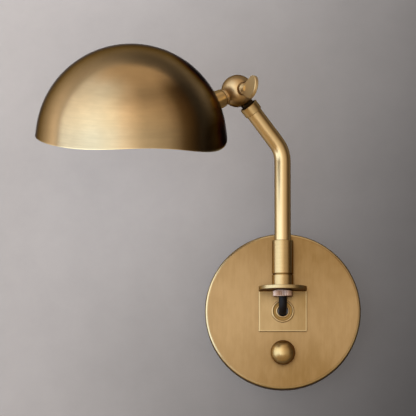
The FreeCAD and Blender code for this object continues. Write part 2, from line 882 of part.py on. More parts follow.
def shade():
    """The dome, about its own axis, with x towards the neck. Its rim is cut along the wave."""
    lean = radians(skirt_angle)
    radius = dome_radius
    inner = dome_radius - dome_wall
    low = -rim_floor
    turn = radians((90 + skirt_angle) / 2)
    skirt_radius = radius / cos(lean) + rim_floor * tan(lean)
    skirt_inner = inner / cos(lean) + rim_floor * tan(lean)
    shell = turned(
        (0, inner),
        (
            (inner * cos(turn), inner * sin(turn)),
            (inner * cos(lean), inner * sin(lean)),
        ),
        (skirt_inner, low), (skirt_radius, low),
        (radius * cos(lean), radius * sin(lean)),
        (
            (radius * cos(turn), radius * sin(turn)),
            (0, radius),
        ),
    )
    # Everything below a ruled surface that follows the wave
    surface = Part.makeRuledSurface(wave_ring(dome_radius / 2), wave_ring(dome_radius * 3 / 2))
    below = surface.extrude(V(0, 0, -dome_radius))
    hole = rod(nipple_diameter + 2 * thread_gap, dome_radius / 2, dome_radius + overrun)
    hole.rotate(ORIGIN, BACK, 90 - neck_rise)
    return shell.cut(below).cut(hole)


def socket_cup():
    """The brass cup round the socket's base."""
    low = cup_seat()
    radius = cup_diameter / 2
    hole = nipple_diameter / 2 + thread_gap
    return turned(
        (hole, low), (radius - cup_wall, low), (radius, low + cup_wall),
        (radius, low + cup_length), (radius - cup_wall, low + cup_length),
        (radius - cup_wall, low + cup_wall), (hole, low + cup_wall),
    )


def lamp_socket():
    """The insulating body, with a stepped bore for the screw shell."""
    low = cup_seat() + cup_wall + seat_gap
    radius = socket_diameter / 2
    foot = cup_diameter / 2 - cup_wall - thread_gap
    bore = shell_bore / 2 + shell_wall + thread_gap
    well = shell_bore / 2 - shell_wall
    top = low + socket_length
    nipple = nipple_diameter / 2 + thread_gap
    return turned(
        (nipple, low), (foot, low), (foot, low + socket_shoulder), (radius, low + socket_shoulder),
        (radius, top - small_chamfer), (radius - small_chamfer, top), (bore, top),
        (bore, top - shell_length - seat_gap), (well, top - shell_length - seat_gap),
        (well, well_floor()), (lead_offset * 2, well_floor()),
        (lead_offset * 2, nipple_end() + body_gap), (nipple, nipple_end() + body_gap),
    )


def socket_top():
    return cup_seat() + cup_wall + seat_gap + socket_length


def well_floor():
    """The floor of the well under the screw shell, where the centre contact stands."""
    return socket_top() - shell_length - contact_room


def screw_shell():
    """The thin threaded sleeve that takes the lamp's cap."""
    outer = shell_bore + 2 * shell_wall
    return ring(outer, shell_bore, socket_top() - shell_length, socket_top() - small_chamfer)


def centre_contact():
    """The contact that stands on the floor of the well, with its stalk in the wires' hole."""
    seat = well_floor() + seat_gap
    rim = contact_height / 2
    return turned(
        (0, well_floor() - contact_height),
        (2 * lead_offset - thread_gap, well_floor() - contact_height),
        (2 * lead_offset - thread_gap, seat), (contact_diameter / 2, seat),
        (contact_diameter / 2, seat + rim), (contact_diameter / 4, seat + contact_height),
        (0, seat + contact_height),
    )


def socket_leads():
    """Two insulated wires through the neck to the socket."""
    low = journal_end
    high = well_floor() - contact_height - seat_gap
    return Part.makeCompound([rod(lead_diameter, low, high, 0, side * lead_offset) for side in (-1, 1)])


# Dimmer, in the wall frame about its own shaft

def dimmer_body():
    """The rotary dimmer behind the plate, with its threaded bushing through it."""
    high = face - plate_wall - seat_gap
    low = high - dimmer_depth
    half = dimmer_side / 2
    case = block(-half, half, -half, half, low, high)
    uprights = [edge for edge in case.Edges if abs(edge.Vertexes[0].Z - edge.Vertexes[1].Z) > 0]
    case = case.makeChamfer(dimmer_corner, uprights)
    bushing = rod(dimmer_bushing, high - small_chamfer, face + dimmer_bushing_reach)
    hole = rod(shaft_diameter + 2 * running_gap, high - overrun, face + dimmer_bushing_reach + overrun)
    return case.fuse(bushing).removeSplitter().cut(hole)


def dimmer_nut():
    low = face + seat_gap
    nut = hexagon(dimmer_nut_across, low, low + dimmer_nut_height)
    return nut.cut(rod(dimmer_bushing + 2 * thread_gap, low - overrun, low + dimmer_nut_height + overrun))


def dimmer_shaft():
    """The turning shaft, with a flat for the knob's screw."""
    low = face - plate_wall - seat_gap - overrun + thrust_gap
    high = face + shaft_reach
    radius = shaft_diameter / 2
    shaft = chamfered_rod(shaft_diameter, low, high, small_chamfer)
    flat_start = face + knob_gap + knob_hollow_depth
    flat = block(-radius, radius, radius - small_chamfer, shaft_diameter, flat_start, high + overrun)
    return shaft.cut(flat)


def dimmer_knob():
    """A turned ball knob with a hollow back over the dimmer's nut."""
    low = face + knob_gap
    high = low + knob_height
    radius = knob_diameter / 2
    middle = high - radius
    back = knob_back_diameter / 2
    back_rise = middle - sqrt(radius ** 2 - back ** 2)
    knob = turned(
        (0, low), (back, low), (back, back_rise),
        ((radius, middle), (radius * cos(pi / 4), middle + radius * sin(pi / 4))),
        ((radius * sin(pi / 8), middle + radius * cos(pi / 8)), (0, high)),
    )
    hollow = rod(knob_hollow_diameter, low - overrun, low + knob_hollow_depth)
    bore = rod(shaft_diameter + 2 * thread_gap, low, face + shaft_reach + body_gap)
    screw = Part.makeCylinder(
        knob_screw_diameter / 2 + thread_gap, knob_diameter,
        V(0, 0, knob_screw_place()), V(0, 1, 0),
    )
    return knob.cut([hollow, bore, screw])


def knob_screw_place():
    return face + knob_gap + knob_hollow_depth + knob_screw_diameter


def knob_screw():
    """The set screw on the knob's upper side, on the shaft's flat."""
    start = shaft_diameter / 2 - small_chamfer + seat_gap
    reach = sqrt((knob_diameter / 2) ** 2 - knob_screw_diameter ** 2) - line_gap
    screw = Part.makeCylinder(knob_screw_diameter / 2, reach - start, V(0, start, knob_screw_place()), BACK)
    slot = block(
        -knob_screw_diameter, knob_screw_diameter, reach - line_gap, reach + overrun,
        knob_screw_place() - small_chamfer / 2, knob_screw_place() + small_chamfer / 2,
    )
    return screw.cut(slot)


# The lamp, piece by piece

def main():
    os.makedirs("parts", exist_ok=True)
    left, right = side_screws()
    for screw in (left, right):
        screw.translate(V(0, 0, side_screw_height()))
    on_axis = FreeCAD.Placement(V(0, -axis_distance, 0), FreeCAD.Rotation())
    at_dimmer = WALL.multiply(FreeCAD.Placement(V(0, -dimmer_drop, 0), FreeCAD.Rotation()))

    keep("backplate", backplate(), WALL)
    keep("backplate_screws", Part.makeCompound([left, right]), WALL)
    keep("mounting_strap", mounting_strap(), WALL)
    keep("ground_screw", ground_screw(), WALL)
    keep("bracket", bracket(), SIDE)
    keep("bracket_screws", bracket_screws(), WALL)
    keep("cable_bushing", cable_bushing(), WALL)
    keep("bushing_nut", bushing_nut(), WALL)
    keep("supply_cable", supply_cable())

    keep("knurled_nut", knurled_nut(), on_axis)
    keep("lock_washer", lock_washer(), on_axis)
    keep("hollow_stem", hollow_stem(), on_axis)
    keep("lower_collar", lower_collar(), on_axis)
    keep("swivel_washer", swivel_washer(), on_axis)
    keep("stem_retainer", stem_retainer(), on_axis)

    keep("dimmer_body", dimmer_body(), at_dimmer)
    keep("dimmer_nut", dimmer_nut(), at_dimmer)
    keep("dimmer_shaft", dimmer_shaft(), at_dimmer)
    keep("dimmer_knob", dimmer_knob(), at_dimmer)
    keep("knob_screw", knob_screw(), at_dimmer)

    keep("arm_sleeve", arm_sleeve(), ARM)
    keep("arm_tube", arm_tube(), ARM)
    keep("arm_cable", arm_cable(), ARM)
    keep("top_collar", top_collar(), TUBE_END)
    keep("knuckle_tongue", knuckle_tongue(), TUBE_END)

    keep("ball_body", ball_body())
    keep("friction_washers", friction_washers(), TILT)
    keep("swivel_screw", swivel_screw(), NECK)
    keep("wing_screw", wing_screw(), TILT)

    keep("shade_neck", shade_neck(), NECK)
    keep("shade", shade(), SHADE)
    keep("shade_washer", shade_washer(), NECK)
    keep("shade_nut", shade_nut(), NECK)
    keep("socket_cup", socket_cup(), NECK)
    keep("lamp_socket", lamp_socket(), NECK)
    keep("screw_shell", screw_shell(), NECK)
    keep("centre_contact", centre_contact(), NECK)
    keep("socket_leads", socket_leads(), NECK)


main()
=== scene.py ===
# %% [markdown]
# # A wall lamp in aged brass
#
# The lamp is a round plate on the wall, a small bracket with a shelf, a bent arm that swings on
# the shelf, a ball joint with a wing screw, and a dome shade whose rim waves. The construction
# comes finished, as the frame. This script dresses it: it gives each part its finish, remakes the
# parts whose surface deserves more than the frame's triangles, and sets the light, the wall, the
# floor and the camera.

# %% Load the frame
import json
from math import cos, pi, radians, sin, tan

import bmesh
import bpy
from mathutils import Matrix, Vector


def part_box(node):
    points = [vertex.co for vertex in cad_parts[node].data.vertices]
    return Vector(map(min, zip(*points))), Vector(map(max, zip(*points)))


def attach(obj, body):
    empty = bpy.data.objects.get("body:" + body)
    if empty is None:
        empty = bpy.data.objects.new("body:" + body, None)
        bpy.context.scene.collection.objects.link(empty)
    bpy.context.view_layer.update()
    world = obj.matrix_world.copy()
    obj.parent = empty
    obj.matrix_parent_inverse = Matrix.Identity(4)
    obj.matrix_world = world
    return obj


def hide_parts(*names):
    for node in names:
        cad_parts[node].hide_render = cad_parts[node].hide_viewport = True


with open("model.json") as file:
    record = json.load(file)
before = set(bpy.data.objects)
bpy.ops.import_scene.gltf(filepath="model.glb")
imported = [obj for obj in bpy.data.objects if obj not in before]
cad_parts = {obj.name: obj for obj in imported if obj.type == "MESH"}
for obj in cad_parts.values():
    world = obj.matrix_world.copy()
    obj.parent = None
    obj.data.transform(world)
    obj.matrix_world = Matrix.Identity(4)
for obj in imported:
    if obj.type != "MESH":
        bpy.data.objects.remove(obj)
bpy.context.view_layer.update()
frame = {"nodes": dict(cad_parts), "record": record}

# %% [markdown]
# ## Units, colours and nodes
#
# Blender works in metres, and lamp parts are drawn in millimetres, so every size of a part is
# written in millimetres and multiplied by MM once. Colours are written as they look on a screen,
# and one function turns them into the linear values that a shader needs. A second function adds a
# node to any tree: its inputs may be values, or earlier nodes or their sockets, which it then
# links. So a formula of many Math nodes still reads from top to bottom.

# %% Units, colours and nodes
MM = 0.001
MATH = "ShaderNodeMath"
VECTOR = "ShaderNodeVectorMath"
RANGE = "ShaderNodeMapRange"
MIX = "ShaderNodeMix"
NOISE = "ShaderNodeTexNoise"
SMOOTH = {"interpolation_type": "SMOOTHSTEP"}
# Nearly all values of a noise lie in this span
NOISE_SPAN = {"From Min": 0.3, "From Max": 0.7}


def linear(code):
    """A hex colour such as #C2A16D as linear red, green, blue and alpha."""
    shares = [int(code[start:start + 2], 16) / 255 for start in (1, 3, 5)]
    return [s / 12.92 if s <= 0.04045 else ((s + 0.055) / 1.055) ** 2.4 for s in shares] + [1.0]


def add(tree, kind, inputs=None, **settings):
    """One node with its settings. An input that is a node, a list of nodes or a socket is linked,
    and any other is its value."""
    node = tree.nodes.new(kind)
    for name, value in settings.items():
        setattr(node, name, value)
    for name, value in (inputs or {}).items():
        many = isinstance(value, list) and isinstance(value[0], bpy.types.Node)
        for source in value if many else [value]:
            if isinstance(source, bpy.types.Node):
                source = source.outputs[0]
            if isinstance(source, bpy.types.NodeSocket):
                tree.links.new(source, node.inputs[name])
            else:
                node.inputs[name].default_value = source
    return node


print("mid grey #808080 is", round(linear("#808080")[0], 3), "in linear light")

# %% [markdown]
# ## Where the parts lie
#
# The lamp was drawn in frames: the arm's frame stands on the swivel axis, and the frames of the
# neck and the shade hang from the centre of the ball. The same few sizes give the same frames
# here, so a remade part lands exactly on what carries it, and a brushed or turned pattern runs
# true to its part.

# %% Where the parts lie
plate_radius = 63.5
plate_depth = 19.0
bracket_thickness = 2.9
arm_offset = 9.6
axis_distance = plate_depth + bracket_thickness + arm_offset
swing_angle = 25.0
tube_bend_angle = 40.5
tube_corner_height = 130.0
ball_reach = 40.3
neck_drop = 25.15
neck_rise = 18.25
neck_reach = 26.75
dome_radius = 76.75
shade_roll = -16.4


def moved(x, y, z):
    return Matrix.Translation(Vector((x, y, z)) * MM)


def turned(degrees, axis):
    return Matrix.Rotation(radians(degrees), 4, Vector(axis))


ball_height = tube_corner_height + ball_reach / tan(radians(tube_bend_angle))
wall_frame = turned(90, (1, 0, 0))
arm_frame = moved(0, -axis_distance, 0) @ turned(swing_angle, (0, 0, 1))
ball_frame = arm_frame @ moved(-ball_reach, 0, ball_height)
screw_frame = ball_frame @ turned(90, (1, 0, 0))
neck_frame = ball_frame @ turned(-90 - neck_drop, (0, 1, 0))
tube_end_frame = ball_frame @ turned(180 - tube_bend_angle, (0, 1, 0))
neck_direction = Vector((-cos(radians(neck_drop)), 0, -sin(radians(neck_drop))))
shade_frame = (
    ball_frame @ moved(*(neck_direction * (neck_reach + dome_radius)))
    @ turned(shade_roll, neck_direction) @ turned(neck_drop - neck_rise, (0, -1, 0))
)
ball_centre = ball_frame.translation / MM
dome_centre = shade_frame.translation / MM
print("ball at", [round(part, 1) for part in ball_centre], "mm")
print("dome's centre at", [round(part, 1) for part in dome_centre], "mm")

# %% [markdown]
# ## Fine lines
#
# The real finish is brass that was darkened in a bath, rubbed back by hand and sealed with a thin
# lacquer. Fine lines show how each part was turned or brushed. A picture of brushed brass could be
# wrapped round the parts, but it would stretch on the ball and the shade. So the lines come from
# noise that is squeezed along one direction of the part's own frame, once fine and once wider, as
# real lines have both.

# %% Fine lines
streaks_to_lines = 4.0
longest_streak = 12.0


def new_finish(name):
    """A new material with its node tree, its shader and the coordinates that its piece carries."""
    material = bpy.data.materials.new(name)
    material.use_nodes = True
    tree = material.node_tree
    at = add(tree, "ShaderNodeTexCoord").outputs["Object"]
    return material, tree, tree.nodes["Principled BSDF"], at


def drawn_lines(tree, at, place, lines):
    """Fine lines and wider streaks. lines is their size along x, y and z of the frame place."""
    turn = {"Location": place.translation, "Rotation": place.to_euler()}
    streaks = [min(size * streaks_to_lines, longest_streak) for size in lines]
    noises = []
    for sizes, roughness in ((lines, 0.6), (streaks, 0.5)):
        stretched = add(tree, "ShaderNodeMapping", {
            "Vector": at, **turn, "Scale": Vector(sizes) * MM,
        }, vector_type="TEXTURE")
        noises.append(add(tree, NOISE, {
            "Vector": stretched, "Scale": 1.0, "Detail": 3.0, "Roughness": roughness,
        }))
    return noises


print("streaks are up to", longest_streak, "mm long")

# %% [markdown]
# ## Patina
#
# The metal's colour wanders between honey and brown where the patina is thicker, and a flat metal
# colour would miss that. Slow noise at the scale of the real clouds gives it. A few places have
# more or less brown than the noise gives: some are patina that a cloth or a hand missed or
# reached, and some are painted light and painted shade. Each of them adds its own amount, which
# fades with the distance from a point.

# %% Patina
cloud_size = 26.0


def fading(tree, at, point, near, far, at_near, at_far):
    """A value that changes smoothly between two distances from a point."""
    away = add(tree, VECTOR, {0: at, 1: Vector(point) * MM}, operation="DISTANCE").outputs["Value"]
    return add(tree, RANGE, {
        "Value": away, "From Min": near * MM, "From Max": far * MM,
        "To Min": at_near, "To Max": at_far,
    }, **SMOOTH)


def patina(tree, at, streaks, clouds, patches):
    """How brown the metal is, from patina and from painted light and shade.
    A patch is a point, two distances, and the brown added at each.
    """
    slow = add(tree, NOISE, {
        "Vector": at, "Scale": 1 / (cloud_size * MM), "Detail": 3.0, "Roughness": 0.5,
    })
    both = add(tree, MATH, {0: slow, 1: streaks}, operation="ADD")
    amount = add(tree, RANGE, {
        "Value": both, "From Min": 0.75, "From Max": 1.25, "To Max": clouds,
    }, **SMOOTH)
    for patch in patches:
        thick = fading(tree, at, *patch)
        amount = add(tree, MATH, {0: amount, 1: thick}, operation="ADD", use_clamp=True)
    return amount


print("patina clouds are", cloud_size, "mm across")

# %% [markdown]
# ## Worn edges
#
# Edges come out bare, because cloths and fingers rub them first, and their sides stay brown.
# Blender can find edges by itself, but not in a way that an exported model keeps. So on the round
# parts the wear follows the distance from the axis through the middle of the plate, and the shade
# carries a mark on its rim.

# %% Worn edges
BARE_BRASS = "#EFD49C"
BATH_BROWN = "#8A6C3C"


def marked_edge(tree, at):
    """Bare metal where the piece is marked as worn."""
    return [(add(tree, "ShaderNodeAttribute", attribute_name="worn").outputs["Fac"], BARE_BRASS)]


def round_edge(start, crest, side, bare=0.8):
    """Bare metal from the first radius to the second, brown from there to the third."""
    def edge(tree, at):
        flat = add(tree, VECTOR, {0: at, 1: (1.0, 0.0, 1.0)}, operation="MULTIPLY")
        out = add(tree, VECTOR, {0: flat}, operation="LENGTH").outputs["Value"]
        worn = add(tree, RANGE, {
            "Value": out, "From Min": start * MM, "From Max": crest * MM, "To Max": bare,
        }, **SMOOTH)
        browned = add(tree, RANGE, {
            "Value": out, "From Min": crest * MM, "From Max": side * MM,
        }, **SMOOTH)
        return [(worn, BARE_BRASS), (browned, BATH_BROWN)]
    return edge


print("bare metal is", BARE_BRASS, "and the bath's brown", BATH_BROWN)

# %% [markdown]
# ## The bracket's worn edges
#
# The bracket isn't round, so its wear follows its outline: two sides, the foot, and the round
# front of the shelf, which lies about the swivel's axis. Each is a distance from a plane or an
# axis, and the largest of the three counts. The outline comes from the frame, so it stays true if
# the bracket changes.

# %% The bracket's worn edges
edge_width = 1.2
edge_crest = 0.3


def bracket_edge(tree, at):
    """Bare metal along the bracket's two sides, its foot and the front of its shelf."""
    low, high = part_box("bracket")
    place = add(tree, "ShaderNodeSeparateXYZ", {0: at}).outputs
    aside = add(tree, MATH, {0: place["X"]}, operation="ABSOLUTE")
    axis = add(tree, "ShaderNodeCombineXYZ", {"Y": -axis_distance * MM, "Z": place["Z"]})
    from_axis = add(tree, VECTOR, {0: at, 1: axis}, operation="DISTANCE").outputs["Value"]
    shelf_radius = -low[1] - axis_distance * MM
    at_side, at_foot, in_front = [
        add(tree, RANGE, {
            "Value": where, "From Min": start, "From Max": crest, "To Max": bare,
        }, **SMOOTH)
        for where, start, crest, bare in (
            (aside, high[0] - edge_width * MM, high[0] - edge_crest * MM, 0.5),
            (place["Z"], low[2] + edge_width * MM, low[2] + edge_crest * MM, 0.4),
            (from_axis, shelf_radius - 0.8 * MM, shelf_radius - 0.1 * MM, 0.4),
        )
    ]
    shelf_start = high[2] - (bracket_thickness + 0.2) * MM
    on_shelf = add(tree, MATH, {0: place["Z"], 1: shelf_start}, operation="GREATER_THAN")
    at_front = add(tree, MATH, {0: in_front, 1: on_shelf}, operation="MULTIPLY")
    at_edge = add(tree, MATH, {0: at_side, 1: at_foot}, operation="MAXIMUM")
    return [(add(tree, MATH, {0: at_edge, 1: at_front}, operation="MAXIMUM"), BARE_BRASS)]


print("the bracket's edges are worn", edge_width, "mm wide")

# %% [markdown]
# ## Aged satin brass
#
# The finish puts these together in the order in which the real one came about: the rubbed tone,
# the brown that is left over it, the bare edges, and a last change of tone from line to line. The
# lacquer is the shader's own coat, a pale sheen over the metal. Satin metal darkens a little where
# it turns away from the eye, which the specular tint sets. The gloss is spread by plain GGX, which
# an exported model would keep.

# %% Aged satin brass
line_contrast = 0.03
line_strength = 0.25
lacquer_roughness = 0.2


def brass(name, place, lines, tone, brown, roughness, relief=0.006, clouds=0.15, patches=(),
          edge=marked_edge, lacquer=0.08, grazing=(0.15, 0.11, 0.04)):
    """Aged brass. relief is how deep its lines are, and clouds how brown its clouds are."""
    material, tree, shader, at = new_finish(name)
    grain, streaks = drawn_lines(tree, at, place, lines)
    colour = linear(tone)
    for share, metal in [(patina(tree, at, streaks, clouds, patches), brown)] + edge(tree, at):
        colour = add(tree, MIX, {"Factor": share, "A": colour, "B": linear(metal)},
                     data_type="RGBA").outputs["Result"]
    shade = add(tree, RANGE, {
        "Value": grain, **NOISE_SPAN, "To Min": 1 - line_contrast, "To Max": 1 + line_contrast,
    })
    lined = add(tree, VECTOR, {0: colour, 1: shade}, operation="MULTIPLY")
    rough = add(tree, RANGE, {
        "Value": streaks, **NOISE_SPAN, "To Min": roughness - 0.015, "To Max": roughness + 0.02,
    })
    bump = add(tree, "ShaderNodeBump", {
        "Height": grain, "Strength": line_strength, "Distance": relief * MM,
    })
    for socket, source in (("Base Color", lined), ("Roughness", rough), ("Normal", bump)):
        tree.links.new(source.outputs[0], shader.inputs[socket])
    shader.inputs["Metallic"].default_value = 1.0
    shader.inputs["Specular Tint"].default_value = (*grazing, 1.0)
    shader.inputs["Coat Weight"].default_value = lacquer
    shader.inputs["Coat Roughness"].default_value = lacquer_roughness
    shader.distribution = "GGX"
    return material


print("lines change the brass by", line_contrast, "of its brightness")

# %% [markdown]
# ## Brushed plate and bracket
#
# The plate and the bracket are sheet that was brushed up and down. The plate's tone is painted
# paler about a point at its left and one at its right, and browner away from them, as painted
# light and shade, and its edge is worn bare. The bracket is the same sheet, handled more. The
# patches of patina and of painted light are placed by points on the metal, so they stay with it
# when the lamp is seen from elsewhere.

# %% Brushed plate and bracket
# Real brush lines are about 0.1 mm wide, too fine to show, so they are drawn 0.9 mm wide
BRUSHED = (0.9, 40.0, 40.0)
plate_painted_light_left = (-45.0, -plate_depth, 2.0)
plate_painted_light_right = (45.0, -plate_depth, -5.0)
bracket_left = (-14.0, -22.0, -4.0)
# A cloth's long strokes leave a satin sheet with a bright rim
plate_brass = brass(
    "brushed_brass_plate", wall_frame, BRUSHED, "#B39264", "#886739", 0.34,
    # Painted light and shade: paler about these two points, browner away from them
    patches=[(plate_painted_light_left, 10.0, 85.0, 0.15, 0.85), (plate_painted_light_right, 12.0, 55.0, -0.4, 0.0)],
    edge=round_edge(plate_radius - 2.0, plate_radius - 1.1, plate_radius - 0.1),
)
# The same sheet, paler about a point at its left and browner away from it
bracket_brass = brass(
    "brushed_brass_bracket", wall_frame, BRUSHED, "#B49566", "#866533", 0.33,
    patches=[(bracket_left, 4.0, 38.0, 0.1, 0.6)], edge=bracket_edge,
)
print("brushed:", plate_brass.name, "and", bracket_brass.name)

# %% [markdown]
# ## Turned and drawn parts
#
# The sleeve, the collars, the ball, the neck and the knob are bar that was turned on a lathe, so
# their lines run about the axis of each part. The tube was drawn through a die, which leaves the
# smoothest surface of all, with lines along it, so its highlight is long and bright. Each gets its
# own tone, as no two parts come out of the bath alike.

# %% Turned and drawn parts
# A cutter's feed and a die's scratches are below 0.2 mm, so both are drawn coarser too
TURNED = (30.0, 30.0, 0.9)
DRAWN = (0.9, 0.9, 40.0)
THIN_LACQUER = {"lacquer": 0.02, "grazing": (0.08, 0.05, 0.01)}
# The point under the ball about which it is painted dark, as painted shade
ball_painted_shade = ball_centre + Vector((1.0, -4.0, -13.0))
# Turned bar: its lines spread each highlight into a soft band
turned_brass = brass("turned_brass", arm_frame, TURNED, "#C2A16D", "#A8864F", 0.25)
# The neck and what is screwed to it were rubbed paler
neck_brass = brass("turned_brass_neck", neck_frame, TURNED, "#CEAF7A", "#AE8C58", 0.28)
# The ring at the tube's end is a little duller than the tube
collar_brass = brass("turned_brass_collar", tube_end_frame, TURNED, "#CCAC76", "#AC8A56", 0.3)
# Fingers took most of the knob's lacquer, so its sides turn dark
knob_brass = brass(
    "turned_brass_knob", wall_frame, TURNED, "#CCAA70", "#AC884C", 0.35, **THIN_LACQUER,
)
# The ball is painted dark brown underneath, next to the slot, as painted shade
ball_brass = brass(
    "turned_brass_ball", screw_frame, TURNED, "#CEAD7C", "#6A4A20", 0.34, clouds=0.08,
    patches=[(ball_painted_shade, 3.0, 12.0, 0.8, 0.0)], **THIN_LACQUER,
)
# Drawn tube has almost no relief and next to no lacquer, so its highlight is a clean line
tube_brass = brass(
    "drawn_brass_tube", arm_frame, DRAWN, "#E0BF88", "#C8A66E", 0.29, relief=0.0005,
    lacquer=0.01, grazing=(0.1, 0.06, 0.01),
)
print("the ball's brown foot is at", [round(part, 1) for part in ball_painted_shade], "mm")

# %% [markdown]
# ## Rubbed bare, or never rubbed
#
# Four small parts get finishes of their own. The wing is bright from fingers, without any lines
# that are left of the lathe. The tongue is painted nearly black, as painted shade for the dark gap
# of the slot that it sits in. A washer sits where no cloth gets, so it stays as the bath left it.
# The knurled nut isn't brass at all, and took the bath differently.

# %% Rubbed bare, or never rubbed
FINGER_MARKS = (6.0, 6.0, 6.0)
# The wing is turned by fingers, so its patina is nearly gone
wing_brass = brass(
    "finger_worn_brass_wing", screw_frame, FINGER_MARKS, "#F0CE94", "#DCBA80", 0.5,
)
# The tongue sits in the slot and is painted nearly black, as painted shade for the dark gap round
# it
tongue_painted_shade_brass = brass("blackened_brass_tongue", tube_end_frame, TURNED, "#3E2F1C", "#2C2115", 0.5)
# A washer that stays in the dark between two turned parts keeps the bath's colour
brown_washer = brass("browned_brass_washer", arm_frame, TURNED, "#8A6A3A", "#6E5229", 0.4)
# Phosphor bronze is redder and paler than the brass round it
nut_bronze = brass("knurled_bronze_nut", arm_frame, TURNED, "#BE9B81", "#A58270", 0.36)
print("never rubbed:", tongue_painted_shade_brass.name, "and", brown_washer.name)

# %% [markdown]
# ## The bushing
#
# The ring that the cable goes through is turned with a dish in its face. A cloth can't reach into
# the dish, so it keeps its brown between two crests that come out bare. Two patches about the same
# point draw the dish, and the worn edge draws the outer crest.

# %% The bushing
bushing_front = (0.0, -23.5, 0.0)
inner_crest = (5.2, 5.7)
dish_edge = (7.4, 7.8)
bushing_brass = brass(
    "turned_brass_bushing", wall_frame, TURNED, "#C8A470", "#8E6C38", 0.34,
    patches=[(bushing_front, *dish_edge, 1.0, 0.0), (bushing_front, *inner_crest, -1.0, 0.0)],
    edge=round_edge(start=7.7, crest=8.7, side=12.0, bare=0.15),
)
print("the dish is brown from", inner_crest[1], "to", dish_edge[0], "mm out")

# %% [markdown]
# ## The spun shade
#
# The shade is sheet that was pressed over a form as it turned, so its lines run about the dome's
# axis. Its right side and its top right are painted dark brown, and a spot on its front a little,
# as painted shade for the dark room that they reflect; round the neck's hole the brown is partly
# patina and partly painted shade. Each of these places is a patch about a point near the surface,
# given from the dome's centre, with the brown at its heart and none at its border.

# %% The spun shade
# The roller leaves a line every few tenths of a millimetre, so these are drawn coarser too
SPUN = (60.0, 60.0, 1.2)
neck_hole = shade_frame @ turned(-neck_rise, (0, 1, 0)) @ Vector((dome_radius * MM, 0, 0)) / MM
# A point, its heart and its border, and the brown at its heart: painted shade, and round the
# neck's hole partly patina
shade_painted_shade_and_patina = [
    (neck_hole, 8.0, 50.0, 0.15),
    (dome_centre + Vector((70.0, -30.0, -8.0)), 14.0, 43.0, 0.82),
    (dome_centre + Vector((54.0, -12.0, 52.0)), 10.0, 33.0, 0.8),
    (dome_centre + Vector((66.0, -26.0, 28.0)), 4.0, 17.0, 0.3),
    (dome_centre + Vector((2.0, -68.0, 29.0)), 6.0, 25.0, 0.22),
]
# Its dark brown, #4A3216, is the colour of the painted shade in the patches above
shade_brass = brass(
    "spun_brass_shade", shade_frame, SPUN, "#C0A377", "#4A3216", 0.22, clouds=0.08, lacquer=0.02,
    grazing=(0.14, 0.14, 0.16), patches=[(*patch, 0.0) for patch in shade_painted_shade_and_patina],
)
print("patches of patina on the shade:", len(shade_painted_shade_and_patina))

# %% [markdown]
# ## The other finishes
#
# The parts that hide behind the plate and inside the shade are made of common things: zinc plated
# steel, spring steel, nylon, phenolic and silicone. None is large, so one function makes them all:
# a colour that clouds a little, as plating and moulded plastic do, with a fine uneven gloss.

# %% The other finishes
# The specks are drawn larger than real ones, which would be too fine to show
speck_size = 0.5
slow_size = 8.0
speck_relief = 0.01


def plain(name, colour, roughness, metallic=0.0):
    """A small part's finish: one colour with fine uneven roughness and a slight relief."""
    material, tree, shader, at = new_finish(name)
    fine = add(tree, NOISE, {"Vector": at, "Scale": 1 / (speck_size * MM), "Detail": 3.0})
    slow = add(tree, NOISE, {"Vector": at, "Scale": 1 / (slow_size * MM), "Detail": 2.0})
    shade = add(tree, RANGE, {"Value": slow, **NOISE_SPAN, "To Min": 0.85, "To Max": 1.1})
    base = add(tree, VECTOR, {0: linear(colour)[:3], 1: shade}, operation="MULTIPLY")
    rough = add(tree, RANGE, {
        "Value": fine, "To Min": roughness - 0.08, "To Max": roughness + 0.08,
    })
    bump = add(tree, "ShaderNodeBump", {
        "Height": fine, "Strength": 0.3, "Distance": speck_relief * MM,
    })
    for socket, source in (("Base Color", base), ("Roughness", rough), ("Normal", bump)):
        tree.links.new(source.outputs[0], shader.inputs[socket])
    shader.inputs["Metallic"].default_value = metallic
    return material


# Zinc plate is a cool grey with a soft, cloudy gloss
zinc_steel = plain("zinc_plated_steel", "#B9BABC", 0.38, 1.0)
# Green lacquer marks the screw for the earth wire
green_screw = plain("green_lacquered_screw", "#3F7A4A", 0.4, 0.8)
# Soft PVC has a dull sheen that never mirrors, so it is less glossy than other plastics
black_cable = plain("black_pvc_jacket", "#110A07", 0.6)
black_cable.node_tree.nodes["Principled BSDF"].inputs["Specular IOR Level"].default_value = 0.25
# Spring steel is blued in oil and stays nearly black
dark_washer = plain("blackened_spring_steel", "#2B2724", 0.5, 0.9)
# Nylon takes the mould's satin
dimmer_case = plain("black_moulded_nylon", "#26262A", 0.55)
# Phenolic is pressed against steel, so it comes out glossy
socket_body = plain("black_phenolic_socket", "#2A2420", 0.35)
# The socket's sheet was rolled and never saw the bath, so it is bright yellow
shell_brass = plain("bright_rolled_brass", "#D8B878", 0.28, 1.0)
# Silicone is chalky to the eye
lead_white = plain("white_silicone_lead", "#D9D6CE", 0.6)
print("specks are", speck_size, "mm and clouds", slow_size, "mm across")

# %% [markdown]
# ## Every part gets its finish
#
# The frame's parts keep their own slots, and each slot is given the finish of what the part is
# made of. They could be dressed one by one, but a single list names every part once, and shows at
# a glance which parts share a finish.

